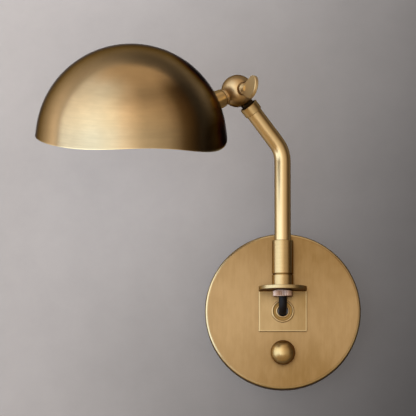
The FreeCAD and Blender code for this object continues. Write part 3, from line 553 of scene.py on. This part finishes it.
# %% Every part gets its finish
FINISHES = {
    "backplate": plate_brass, "backplate_screws": turned_brass, "mounting_strap": zinc_steel,
    "ground_screw": green_screw, "bracket": bracket_brass, "bracket_screws": zinc_steel,
    "cable_bushing": bushing_brass, "bushing_nut": zinc_steel, "supply_cable": black_cable,
    "knurled_nut": nut_bronze, "lock_washer": dark_washer, "hollow_stem": turned_brass,
    "lower_collar": turned_brass, "swivel_washer": brown_washer, "stem_retainer": zinc_steel,
    "dimmer_body": dimmer_case, "dimmer_nut": zinc_steel, "dimmer_shaft": zinc_steel,
    "dimmer_knob": knob_brass, "knob_screw": zinc_steel, "arm_sleeve": turned_brass,
    "arm_tube": tube_brass, "arm_cable": black_cable, "top_collar": collar_brass,
    "knuckle_tongue": tongue_painted_shade_brass, "ball_body": ball_brass, "friction_washers": dark_washer,
    "swivel_screw": zinc_steel, "wing_screw": wing_brass, "shade_neck": neck_brass,
    "shade": shade_brass, "shade_washer": neck_brass, "shade_nut": neck_brass,
    "socket_cup": neck_brass, "lamp_socket": socket_body, "screw_shell": shell_brass,
    "centre_contact": shell_brass, "socket_leads": lead_white,
}
for node, finish in FINISHES.items():
    for slot in frame["nodes"][node].material_slots:
        slot.material = finish
print("finishes given:", len(FINISHES))

# %% [markdown]
# ## The beginning and the end of a tree
#
# Three parts below are drawn by Geometry Nodes, because each repeats a shape or follows a formula.
# Every tree gets named inputs for its sizes, which anyone can change on the modifier. It ends by
# making its instances real, because an exported model would lose them, and by giving them their
# finish.

# %% The beginning and the end of a tree
def new_tree(name, sizes, finish):
    """A Geometry Nodes tree with one named input for each size, and its input node's outputs."""
    tree = bpy.data.node_groups.new(name, "GeometryNodeTree")
    face = tree.interface
    face.new_socket("Geometry", in_out="OUTPUT", socket_type="NodeSocketGeometry")
    for size, value in sizes.items():
        kind = "NodeSocketInt" if isinstance(value, int) else "NodeSocketFloat"
        face.new_socket(size, in_out="INPUT", socket_type=kind).default_value = value
    dress = face.new_socket("Finish", in_out="INPUT", socket_type="NodeSocketMaterial")
    dress.default_value = finish
    return tree, add(tree, "NodeGroupInput").outputs


def finish_tree(tree, given, shape):
    """The end of every tree: instances made real, in their finish."""
    real = add(tree, "GeometryNodeRealizeInstances", {"Geometry": shape})
    dressed = add(tree, "GeometryNodeSetMaterial", {"Geometry": real, "Material": given["Finish"]})
    add(tree, "NodeGroupOutput", {"Geometry": dressed})


print("trees so far:", len(bpy.data.node_groups))

# %% [markdown]
# ## Sheet round an axis
#
# Two of the three pieces are sheet that is round about an axis. A profile could be spun by a
# modifier, but neither piece is the same all the way round: one has a wavy rim, and the other a
# thread. So each starts as a flat grid. Its columns become angles about the axis, its rows follow
# a profile that may change with the angle, and the points that meet at the seam and the pole are
# merged.

# %% Sheet round an axis
seam_gap = 0.001


def unrolled(tree, around, along):
    """A flat grid, each column's angle about the axis, and each row's place from -0.5 to 0.5."""
    grid = add(tree, "GeometryNodeMeshGrid", {
        "Size X": 1.0, "Size Y": 1.0, "Vertices X": around, "Vertices Y": along,
    })
    here = add(tree, "ShaderNodeSeparateXYZ", {0: add(tree, "GeometryNodeInputPosition")}).outputs
    angle = add(tree, MATH, {0: here["X"], 1: 2 * pi, 2: pi}, operation="MULTIPLY_ADD")
    return grid, angle, here["Y"]


def rolled_up(tree, grid, angle, profile):
    """The grid wrapped round the axis along a profile, its seam and pole closed, in metres."""
    wrapped = add(tree, "ShaderNodeVectorRotate", {"Vector": profile, "Angle": angle},
                  rotation_type="Z_AXIS")
    small = add(tree, VECTOR, {0: wrapped, "Scale": MM}, operation="SCALE")
    placed = add(tree, "GeometryNodeSetPosition", {"Geometry": grid, "Position": small})
    return add(tree, "GeometryNodeMergeByDistance", {
        "Geometry": placed, "Distance": seam_gap * MM,
    })


print("points closer than", seam_gap, "mm are merged")

# %% [markdown]
# ## From a tree to a plain mesh
#
# A tree works as a modifier on an object, and other modifiers may follow it. The evaluated result
# is then kept as a plain mesh and turned into its place, and the object with the modifiers is
# removed. So nothing can change the piece any more when it is handed to the body that it moves
# with.

# %% From a tree to a plain mesh
def new_object(name, data=None):
    """An object of the scene, with an empty mesh where no data is given."""
    thing = bpy.data.objects.new(name, data or bpy.data.meshes.new(name))
    bpy.context.collection.objects.link(thing)
    return thing


def modify(thing, name, kind, **settings):
    """One more modifier with its settings."""
    modifier = thing.modifiers.new(name, kind)
    for setting, value in settings.items():
        setattr(modifier, setting, value)


def baked(source, name, place, sharp=30.0):
    """The evaluated object as a plain mesh in its place, smooth but for its sharp edges."""
    bpy.context.view_layer.update()
    seen = source.evaluated_get(bpy.context.evaluated_depsgraph_get())
    mesh = bpy.data.meshes.new_from_object(seen)
    mesh.transform(place)
    mesh.shade_smooth()
    mesh.set_sharp_from_angle(angle=radians(sharp))
    piece = new_object(name, mesh)
    bpy.data.objects.remove(source)
    print(name + ":", len(mesh.polygons), "faces")
    return piece


# %% [markdown]
# ## The dome's sphere
#
# The real shade is spun from one sheet: a part of a sphere that flares a little at its foot, with
# a rim trimmed along a gentle wave. Each of these is a formula, so nodes can draw it exactly. A
# row's place on the sphere is its angle from the pole.

# %% The dome's sphere
dome_sizes = {
    "Radius": dome_radius, "Skirt angle": radians(8.0), "Rim height": 3.2, "Two waves": 1.25,
    "Three waves": 3.9, "Four waves": 1.75, "Sphere share": 0.88,
}
tree, given = new_tree("dome", dome_sizes, shade_brass)
grid, angle, row = unrolled(tree, around=145, along=73)
down = add(tree, MATH, {0: row, 1: 0.5}, operation="ADD")

# A point of the sphere, from its angle at the pole
widest = add(tree, MATH, {0: pi / 2, 1: given["Skirt angle"]}, operation="SUBTRACT")
polar = add(tree, RANGE, {"Value": down, "From Max": given["Sphere share"], "To Max": widest})
pole = add(tree, "ShaderNodeCombineXYZ", {"Z": given["Radius"]})
on_sphere = add(tree, "ShaderNodeVectorRotate", {"Vector": pole, "Angle": polar},
                rotation_type="Y_AXIS")
print("the dome is", 2 * dome_radius, "mm wide before it flares")

# %% [markdown]
# ## The dome's wave and skirt
#
# The rim's height is a sum of three cosines, with two, three and four crests in one turn. Together
# they follow the heights that can be seen on the real rim, and as each has whole crests, the wave
# closes on itself behind. The rows of the skirt run straight from the sphere's edge to this wave.

# %% The dome's wave and skirt
wave = given["Rim height"]
for crests, name in ((2.0, "Two waves"), (3.0, "Three waves"), (4.0, "Four waves")):
    turns = add(tree, MATH, {0: angle, 1: crests}, operation="MULTIPLY")
    crest = add(tree, MATH, {0: turns}, operation="COSINE")
    wave = add(tree, MATH, {0: crest, 1: given[name], 2: wave}, operation="MULTIPLY_ADD")

# A point of the skirt, between the sphere's edge and the wave
foot = add(tree, "ShaderNodeVectorRotate", {"Vector": pole, "Angle": widest},
           rotation_type="Y_AXIS")
foot_parts = add(tree, "ShaderNodeSeparateXYZ", {0: foot}).outputs
slope = add(tree, MATH, {0: given["Skirt angle"]}, operation="TANGENT")
drop = add(tree, MATH, {0: foot_parts["Z"], 1: wave}, operation="SUBTRACT")
rim_out = add(tree, MATH, {0: drop, 1: slope, 2: foot_parts["X"]}, operation="MULTIPLY_ADD")
on_rim = add(tree, "ShaderNodeCombineXYZ", {"X": rim_out, "Z": wave})
way = add(tree, RANGE, {"Value": down, "From Min": given["Sphere share"], "From Max": 1.0})
on_skirt = add(tree, MIX, {"Factor": way, "A": foot, "B": on_rim},
               data_type="VECTOR").outputs["Result"]
highest = dome_sizes["Two waves"] + dome_sizes["Three waves"] + dome_sizes["Four waves"]
print("the wave rises", round(highest, 2), "mm above its middle at most")

# %% [markdown]
# ## The dome wrapped up
#
# Each row takes its place on the sphere or on the skirt, and the sheet is wrapped round the axis.
# The last row is marked as worn, because the trimmed rim is polished by hands. The grid's faces
# end up looking inwards, so they are flipped before the sheet gets its thickness.

# %% The dome wrapped up
worn_from = 0.986
in_skirt = add(tree, MATH, {0: down, 1: given["Sphere share"]}, operation="GREATER_THAN")
profile = add(tree, MIX, {"Factor": in_skirt, "A": on_sphere, "B": on_skirt},
              data_type="VECTOR").outputs["Result"]
worn_rim = add(tree, RANGE, {"Value": down, "From Min": worn_from, "From Max": 1.0})
marked = add(tree, "GeometryNodeStoreNamedAttribute", {
    "Geometry": grid, "Name": "worn", "Value": worn_rim,
})
wrapped_dome = rolled_up(tree, marked, angle, profile)
finish_tree(tree, given, add(tree, "GeometryNodeFlipFaces", {"Mesh": wrapped_dome}))
print("the dome's tree:", len(tree.nodes), "nodes for", len(dome_sizes), "sizes")

# %% [markdown]
# ## The dome's thickness, rim and hole
#
# Solidify gives the sheet its thickness inwards, a small bevel rounds the rim, and a boolean cuts
# the hole for the neck. They come after the tree on the same object, so one evaluation makes the
# finished mesh.

# %% The dome
dome_wall = 1.1
rim_round = 0.35
hole_radius = 9.6 / 2
drill_length = 10.0

raw = new_object("dome_raw")
modify(raw, "dome", "NODES", node_group=tree)
modify(raw, "sheet", "SOLIDIFY", thickness=dome_wall * MM, offset=-1, use_even_offset=True)
modify(raw, "rim", "BEVEL", width=rim_round * MM, segments=3, limit_method="ANGLE",
       angle_limit=radians(50))
cutter = new_object("hole_cutter")
drill = bmesh.new()
bmesh.ops.create_cone(
    drill, cap_ends=True, segments=48, radius1=hole_radius * MM, radius2=hole_radius * MM,
    depth=drill_length * MM,
)
drill.transform(turned(90 - neck_rise, (0, 1, 0)) @ moved(0, 0, dome_radius))
drill.to_mesh(cutter.data)
drill.free()
modify(raw, "hole", "BOOLEAN", object=cutter, operation="DIFFERENCE", solver="EXACT")
dome = baked(raw, "dome_shade", shade_frame)
bpy.data.objects.remove(cutter)
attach(dome, "head")
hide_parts("shade")

# %% [markdown]
# ## The knurled nut
#
# The nut under the shelf is gripped by fingers, so its side is cut into upright ridges. A ridge is
# a thin four-sided prism, and an array could repeat it. Geometry Nodes stand one on each point of
# a circle instead, turned to face outwards, so the number of ridges is one value.

# %% The knurled nut
nut_low, nut_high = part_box("knurled_nut")
nut_height = (nut_high[2] - nut_low[2]) / MM
nut_sizes = {
    "Diameter": 16.0, "Bore": 10.5, "Height": nut_height, "Ridges": 36, "Ridge depth": 0.5,
    "Edge": 0.35,
}
ridge_width = 1.3
tree, given = new_tree("knurled_nut", nut_sizes, nut_bronze)
radius = add(tree, MATH, {0: given["Diameter"], 1: 0.5}, operation="MULTIPLY")
body_radius = add(tree, MATH, {0: radius, 1: given["Ridge depth"]}, operation="SUBTRACT")
body = add(tree, "GeometryNodeMeshCylinder", {
    "Vertices": 144, "Radius": body_radius, "Depth": given["Height"],
})
ridge_height = add(tree, MATH, {0: given["Edge"], 1: -2.0, 2: given["Height"]},
                   operation="MULTIPLY_ADD")
ridge = add(tree, "GeometryNodeMeshCylinder", {
    "Vertices": 4, "Radius": given["Ridge depth"], "Depth": ridge_height,
})
circle = add(tree, "GeometryNodeMeshCircle", {"Vertices": given["Ridges"], "Radius": body_radius})
spot = add(tree, "ShaderNodeSeparateXYZ", {0: add(tree, "GeometryNodeInputPosition")}).outputs
facing = add(tree, MATH, {0: spot["Y"], 1: spot["X"]}, operation="ARCTAN2")
outwards = add(tree, "ShaderNodeCombineXYZ", {"Z": facing})
ridges = add(tree, "GeometryNodeInstanceOnPoints", {
    "Points": circle, "Instance": ridge, "Rotation": outwards, "Scale": (1.0, ridge_width, 1.0),
})
print("ridges on the nut:", nut_sizes["Ridges"])

# %% [markdown]
# ## The nut's body and bore
#
# The ridges are joined with the turned body, and the stem's hole is cut through both. Exact
# booleans leave one closed mesh, with nothing hidden inside it.

# %% The nut's body and bore
joined = add(tree, "GeometryNodeMeshBoolean", {"Mesh 2": [body, ridges]}, operation="UNION",
             solver="EXACT")
bore_radius = add(tree, MATH, {0: given["Bore"], 1: 0.5}, operation="MULTIPLY")
deep = add(tree, MATH, {0: given["Height"], 1: 2.0}, operation="MULTIPLY")
bore = add(tree, "GeometryNodeMeshCylinder", {
    "Vertices": 64, "Radius": bore_radius, "Depth": deep,
})
bored = add(tree, "GeometryNodeMeshBoolean", {"Mesh 1": joined, "Mesh 2": bore},
            operation="DIFFERENCE", solver="EXACT")
in_metres = add(tree, "GeometryNodeTransform", {"Geometry": bored, "Scale": (MM, MM, MM)})
finish_tree(tree, given, in_metres)

raw = new_object("nut_raw")
modify(raw, "nut", "NODES", node_group=tree)
nut_middle = Matrix.Translation((Vector(nut_low) + Vector(nut_high)) / 2)
nut = baked(raw, "knurled_ring_nut", nut_middle)
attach(nut, "wall_base")
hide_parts("knurled_nut")

# %% [markdown]
# ## The socket's screw shell
#
# The shell that takes the bulb is thin brass sheet with a thread rolled into it. A rolled thread
# is a wave that climbs one pitch in each turn, so the sheet's radius is a cosine of height and
# angle together. It is seen from below, inside the shade.

# %% The screw shell
shell_clearance = 0.05
shell_wall = 0.25
shell_sharp = 60.0
socket = next(mount for mount in frame["record"]["mounts"] if mount["name"] == "bulb_socket")
shell_length = socket["dims"]["length_mm"]
shell_radius = socket["dims"]["r_mm"] + shell_clearance
shell_sizes = {"Radius": shell_radius, "Thread": 0.17, "Pitch": 2.54, "Length": shell_length}
tree, given = new_tree("screw_shell", shell_sizes, shell_brass)
grid, angle, row = unrolled(tree, around=73, along=61)
share = add(tree, MATH, {0: row, 1: -0.5}, operation="ADD")
height = add(tree, MATH, {0: share, 1: given["Length"]}, operation="MULTIPLY")
rise = add(tree, MATH, {0: height, 1: given["Pitch"]}, operation="DIVIDE")
phase = add(tree, MATH, {0: rise, 1: 2 * pi, 2: angle}, operation="MULTIPLY_ADD")
thread = add(tree, MATH, {0: phase}, operation="COSINE")
out = add(tree, MATH, {0: thread, 1: given["Thread"], 2: given["Radius"]},
          operation="MULTIPLY_ADD")
profile = add(tree, "ShaderNodeCombineXYZ", {"X": out, "Z": height})
finish_tree(tree, given, rolled_up(tree, grid, angle, profile))

raw = new_object("shell_raw")
modify(raw, "shell", "NODES", node_group=tree)
modify(raw, "sheet", "SOLIDIFY", thickness=shell_wall * MM, offset=1)
mouth = Matrix.Translation(Vector(socket["pos_m"])) @ neck_frame.to_3x3().to_4x4()
shell = baked(raw, "threaded_shell", mouth, sharp=shell_sharp)
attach(shell, "head")
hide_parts("screw_shell")

# %% [markdown]
# ## The wall's daylight
#
# The painted wall behind the lamp falls into shade towards the right and the bottom, as a wall
# does beside a window. A real window far off to the side would give that too, but it would also
# change every reflection on the lamp, so the daylight is in the paint: a few factors that follow
# the place on the wall. Three places are a little paler: one round the arm, one above the shade,
# and one beyond the picture's left edge, which only the shade's left side reflects.

# %% The wall's daylight
# A place on the wall, how far its light reaches, and how much paler the paint is there
PALE_PLACES = [
    ((-80, 0, 100), 150, 1.22), ((-300, 0, 360), 250, 1.2), ((-720, 0, 220), 480, 2.5),
]
slant = -0.42


def daylight(tree, at):
    """What the wall's tone is multiplied by, so that it looks lit from the left."""
    place = add(tree, "ShaderNodeSeparateXYZ", {0: at}).outputs
    across = add(tree, MATH, {0: place["Z"], 1: slant, 2: place["X"]}, operation="MULTIPLY_ADD")
    falling = add(tree, RANGE, {
        "Value": across, "From Min": -320 * MM, "From Max": 222 * MM,
        "To Min": 0.77, "To Max": 0.08,
    }, **SMOOTH)
    inwards = add(tree, RANGE, {
        "Value": place["X"], "From Min": -450 * MM, "From Max": -20 * MM, "To Max": -0.75,
    }, **SMOOTH)
    upwards = add(tree, RANGE, {
        "Value": place["Z"], "From Min": 250 * MM, "From Max": 480 * MM,
    }, **SMOOTH)
    near_ceiling = add(tree, MATH, {0: inwards, 1: upwards, 2: 1.0}, operation="MULTIPLY_ADD")
    pale = [fading(tree, at, middle, 0, reach, level, 1.0) for middle, reach, level in PALE_PLACES]
    return [falling, near_ceiling, *pale]


print("paler places on the wall:", len(PALE_PLACES))

# %% [markdown]
# ## Wall and floor
#
# The stage is a plain painted wall behind the lamp and a pale floor far below it. Both are one
# quad of matt paint. Paint is never quite even, so slow noise mottles it, which keeps the wall
# from looking like a flat colour. Seen from behind, both planes are clear, so that the lamp's back
# can be looked at.

# %% Wall and floor
# Rolled emulsion is matt, and its tone wanders in patches about 70 mm wide, 14 to a metre
mottle_scale = 14.0
mottle_contrast = 0.15
wall_place = 0.0006
wall_top = 2.0
floor_height = -1.1
floor_front = -2.2
half_width = 2.4


def stage_plane(name, corners, colour, light=None):
    """A plane of mottled matt paint, clear from behind. light gives the factors of its tone."""
    material, tree, shader, at = new_finish(name + "_paint")
    shader.inputs["Roughness"].default_value = 0.9
    shader.inputs["Specular IOR Level"].default_value = 0.1
    cloudy = add(tree, NOISE, {
        "Vector": at, "Scale": mottle_scale, "Detail": 8.0, "Roughness": 0.72,
    })
    tone = add(tree, RANGE, {
        "Value": cloudy, "To Min": 1 - mottle_contrast, "To Max": 1 + mottle_contrast,
    })
    for part in light(tree, at) if light else []:
        tone = add(tree, MATH, {0: tone, 1: part}, operation="MULTIPLY")
    base = add(tree, VECTOR, {0: linear(colour)[:3], 1: tone}, operation="MULTIPLY")
    tree.links.new(base.outputs[0], shader.inputs["Base Color"])
    behind = add(tree, "ShaderNodeNewGeometry").outputs["Backfacing"]
    clear = add(tree, "ShaderNodeBsdfTransparent")
    both = add(tree, "ShaderNodeMixShader", {0: behind, 1: shader, 2: clear})
    tree.links.new(both.outputs[0], tree.nodes["Material Output"].inputs["Surface"])
    mesh = bpy.data.meshes.new(name)
    mesh.from_pydata(corners, [], [(0, 1, 2, 3)])
    mesh.materials.append(material)
    plane = new_object(name, mesh)
    return plane


wall = stage_plane("wall", [
    (-half_width, wall_place, floor_height), (half_width, wall_place, floor_height),
    (half_width, wall_place, wall_top), (-half_width, wall_place, wall_top),
], "#8C8379", daylight)
stage_plane("floor", [
    (-half_width, floor_front, floor_height), (half_width, floor_front, floor_height),
    (half_width, wall_place, floor_height), (-half_width, wall_place, floor_height),
], "#D2BC96")
print("wall and floor stand at", wall_place, "and", floor_height, "m")

# %% [markdown]
# ## The room
#
# Satin metal shows the room more than the lamp over it, so the room is what lights this brass. A
# photographed room could be wrapped round the scene, but two ramps say more plainly what matters.
# The world's brightness is their product: one goes round the lamp, with a broad cool window to the
# left of the camera and a warm dark corner on the right, and one goes up, where the ceiling is
# dimmer. Straight overhead the first ramp would pinch to a point, so it gives way to one even tone
# there.

# %% The room
# Degrees round the lamp from straight ahead, the brightness there, and its tint
ROUND_THE_ROOM = [
    (-180, 0.12, "#FFE2B0"), (-140, 0.90, "#DCEAFF"), (-110, 2.25, "#CCE0FF"),
    (-80, 2.45, "#CCE0FF"), (-42, 2.85, "#C4DCFF"), (-20, 2.40, "#D4E6FF"),
    (-6, 1.66, "#F0F4FF"), (6, 1.12, "#FAF8F8"), (18, 0.76, "#FAF6F2"),
    (46, 0.58, "#FAF2E8"), (58, 0.36, "#FCECD8"), (69, 0.10, "#FFD89C"),
    (100, 0.02, "#FFD090"), (150, 0.02, "#FFD090"), (180, 0.12, "#FFE2B0"),
]
# Height from straight down, -1, to straight up, 1, the brightness there, and its tint
UP_THE_ROOM = [
    (-1.0, 0.35, "#FFD8A0"), (-0.65, 0.90, "#FFEED8"), (-0.35, 1.28, "#FFFFFF"),
    (-0.05, 1.0, "#FFFFFF"), (0.3, 1.10, "#FFF5E9"), (0.5, 1.04, "#FFF0E0"),
    (0.7, 0.76, "#FFF0E0"), (0.88, 0.76, "#FFF6EC"), (1.0, 0.58, "#FFF8F0"),
]
OVERHEAD = [0.39, 0.34, 0.29, 1.0]
overhead_start = 0.74
brightest = 3.0
print("the window is", max(level for _, level, _ in ROUND_THE_ROOM), "times as bright as white")

# %% [markdown]
# ## The room's ramps
#
# The world is asked for a colour in each direction. Two shares from 0 to 1 are worked out from the
# direction, one for the angle round the lamp and one for the height, and each is read by a colour
# ramp. The levels round the lamp are written into their ramp as shares of the brightest, and the
# background's strength turns the shares back into levels.

# %% The room's ramps
world = bpy.data.worlds.new("room")
bpy.context.scene.world = world
world.use_nodes = True
room = world.node_tree
view = add(room, "ShaderNodeTexCoord").outputs["Generated"]
looking = add(room, "ShaderNodeSeparateXYZ", {0: view}).outputs
forwards = add(room, MATH, {0: looking["Y"], 1: -1.0}, operation="MULTIPLY")
azimuth = add(room, MATH, {0: looking["X"], 1: forwards}, operation="ARCTAN2")
share_round = add(room, MATH, {0: azimuth, 1: 0.5 / pi, 2: 0.5}, operation="MULTIPLY_ADD")
share_up = add(room, MATH, {0: looking["Z"], 1: 0.5, 2: 0.5}, operation="MULTIPLY_ADD")
round_stops = [
    ((degrees + 180) / 360, [level / brightest * part for part in linear(tint)[:3]] + [1.0])
    for degrees, level, tint in ROUND_THE_ROOM
]
up_stops = [
    ((height + 1) / 2, [level * part for part in linear(tint)[:3]] + [1.0])
    for height, level, tint in UP_THE_ROOM
]
ramps = []
for place, stops in ((share_round, round_stops), (share_up, up_stops)):
    node = add(room, "ShaderNodeValToRGB", {"Fac": place})
    node.color_ramp.interpolation = "EASE"
    while len(node.color_ramp.elements) < len(stops):
        node.color_ramp.elements.new(1.0)
    for element, (position, colour) in zip(node.color_ramp.elements, stops):
        element.position = position
        element.color = colour
    ramps.append(node)
overhead = add(room, RANGE, {
    "Value": looking["Z"], "From Min": overhead_start, "From Max": 1.0,
}, **SMOOTH)
blended = add(room, MIX, {"Factor": overhead, "A": ramps[0], "B": OVERHEAD},
              data_type="RGBA").outputs["Result"]
room_light = add(room, VECTOR, {0: blended, 1: ramps[1]}, operation="MULTIPLY")
room.links.new(room_light.outputs[0], room.nodes["Background"].inputs["Color"])
room.nodes["Background"].inputs["Strength"].default_value = brightest
print("room ramps:", len(round_stops), "stops round and", len(up_stops), "up")

# %% [markdown]
# ## Two lights
#
# One large soft box at the left adds the faint shadows that the parts cast on each other. A lamp
# this close to its wall would also darken the wall round it, much more than in a big room where
# light comes from everywhere. Brighter paint could hide that, but not evenly. So a fill light
# without shadows shines straight at the wall, and light linking keeps it off the lamp.

# %% Two lights
def aim(thing, place, target):
    """Stands a light or the camera at a place and turns it to a target, both in metres."""
    thing.location = place
    thing.rotation_euler = (Vector(target) - thing.location).to_track_quat("-Z", "Y").to_euler()


box_place = (-1.3, -1.3, 0.8)
lamp_middle = (-0.06, -0.05, 0.07)
box_light = bpy.data.lights.new("soft_box", "AREA")
box_light.shape = "RECTANGLE"
box_light.size = box_light.size_y = 1.5
box_light.energy = 0.6
soft_box = new_object("soft_box", box_light)
soft_box.visible_camera = False
aim(soft_box, box_place, lamp_middle)

fill_light = bpy.data.lights.new("wall_fill", "SUN")
fill_light.energy = 6.5
fill_light.color = linear("#E4EDFF")[:3]
fill_light.use_shadow = False
wall_fill = new_object("wall_fill", fill_light)
# A sun has only a direction, here straight at the wall
aim(wall_fill, (0, 0, 0), (0, 1, 0))
only_wall = bpy.data.collections.new("only_wall")
only_wall.objects.link(wall)
wall_fill.light_linking.receiver_collection = only_wall
print("soft box", round(soft_box.location.length, 2), "m away")

# %% [markdown]
# ## Camera
#
# The picture was taken from far off with a long lens, from a little below the lamp, so its circles
# stay nearly round and the shelf is seen from just underneath.

# %% Camera
camera_place = (0.0, -3.4, -0.265)
picture_middle = (-0.061, -0.019, 0.0848)
camera_data = bpy.data.cameras.new("camera")
camera_data.lens = 360.0
camera_data.sensor_width = 36.0
camera_data.clip_end = 50.0
camera = new_object("camera", camera_data)
aim(camera, camera_place, picture_middle)
bpy.context.scene.camera = camera
bpy.context.scene.view_settings.view_transform = "Standard"
print("camera", round(camera.location.length, 2), "m from the lamp")
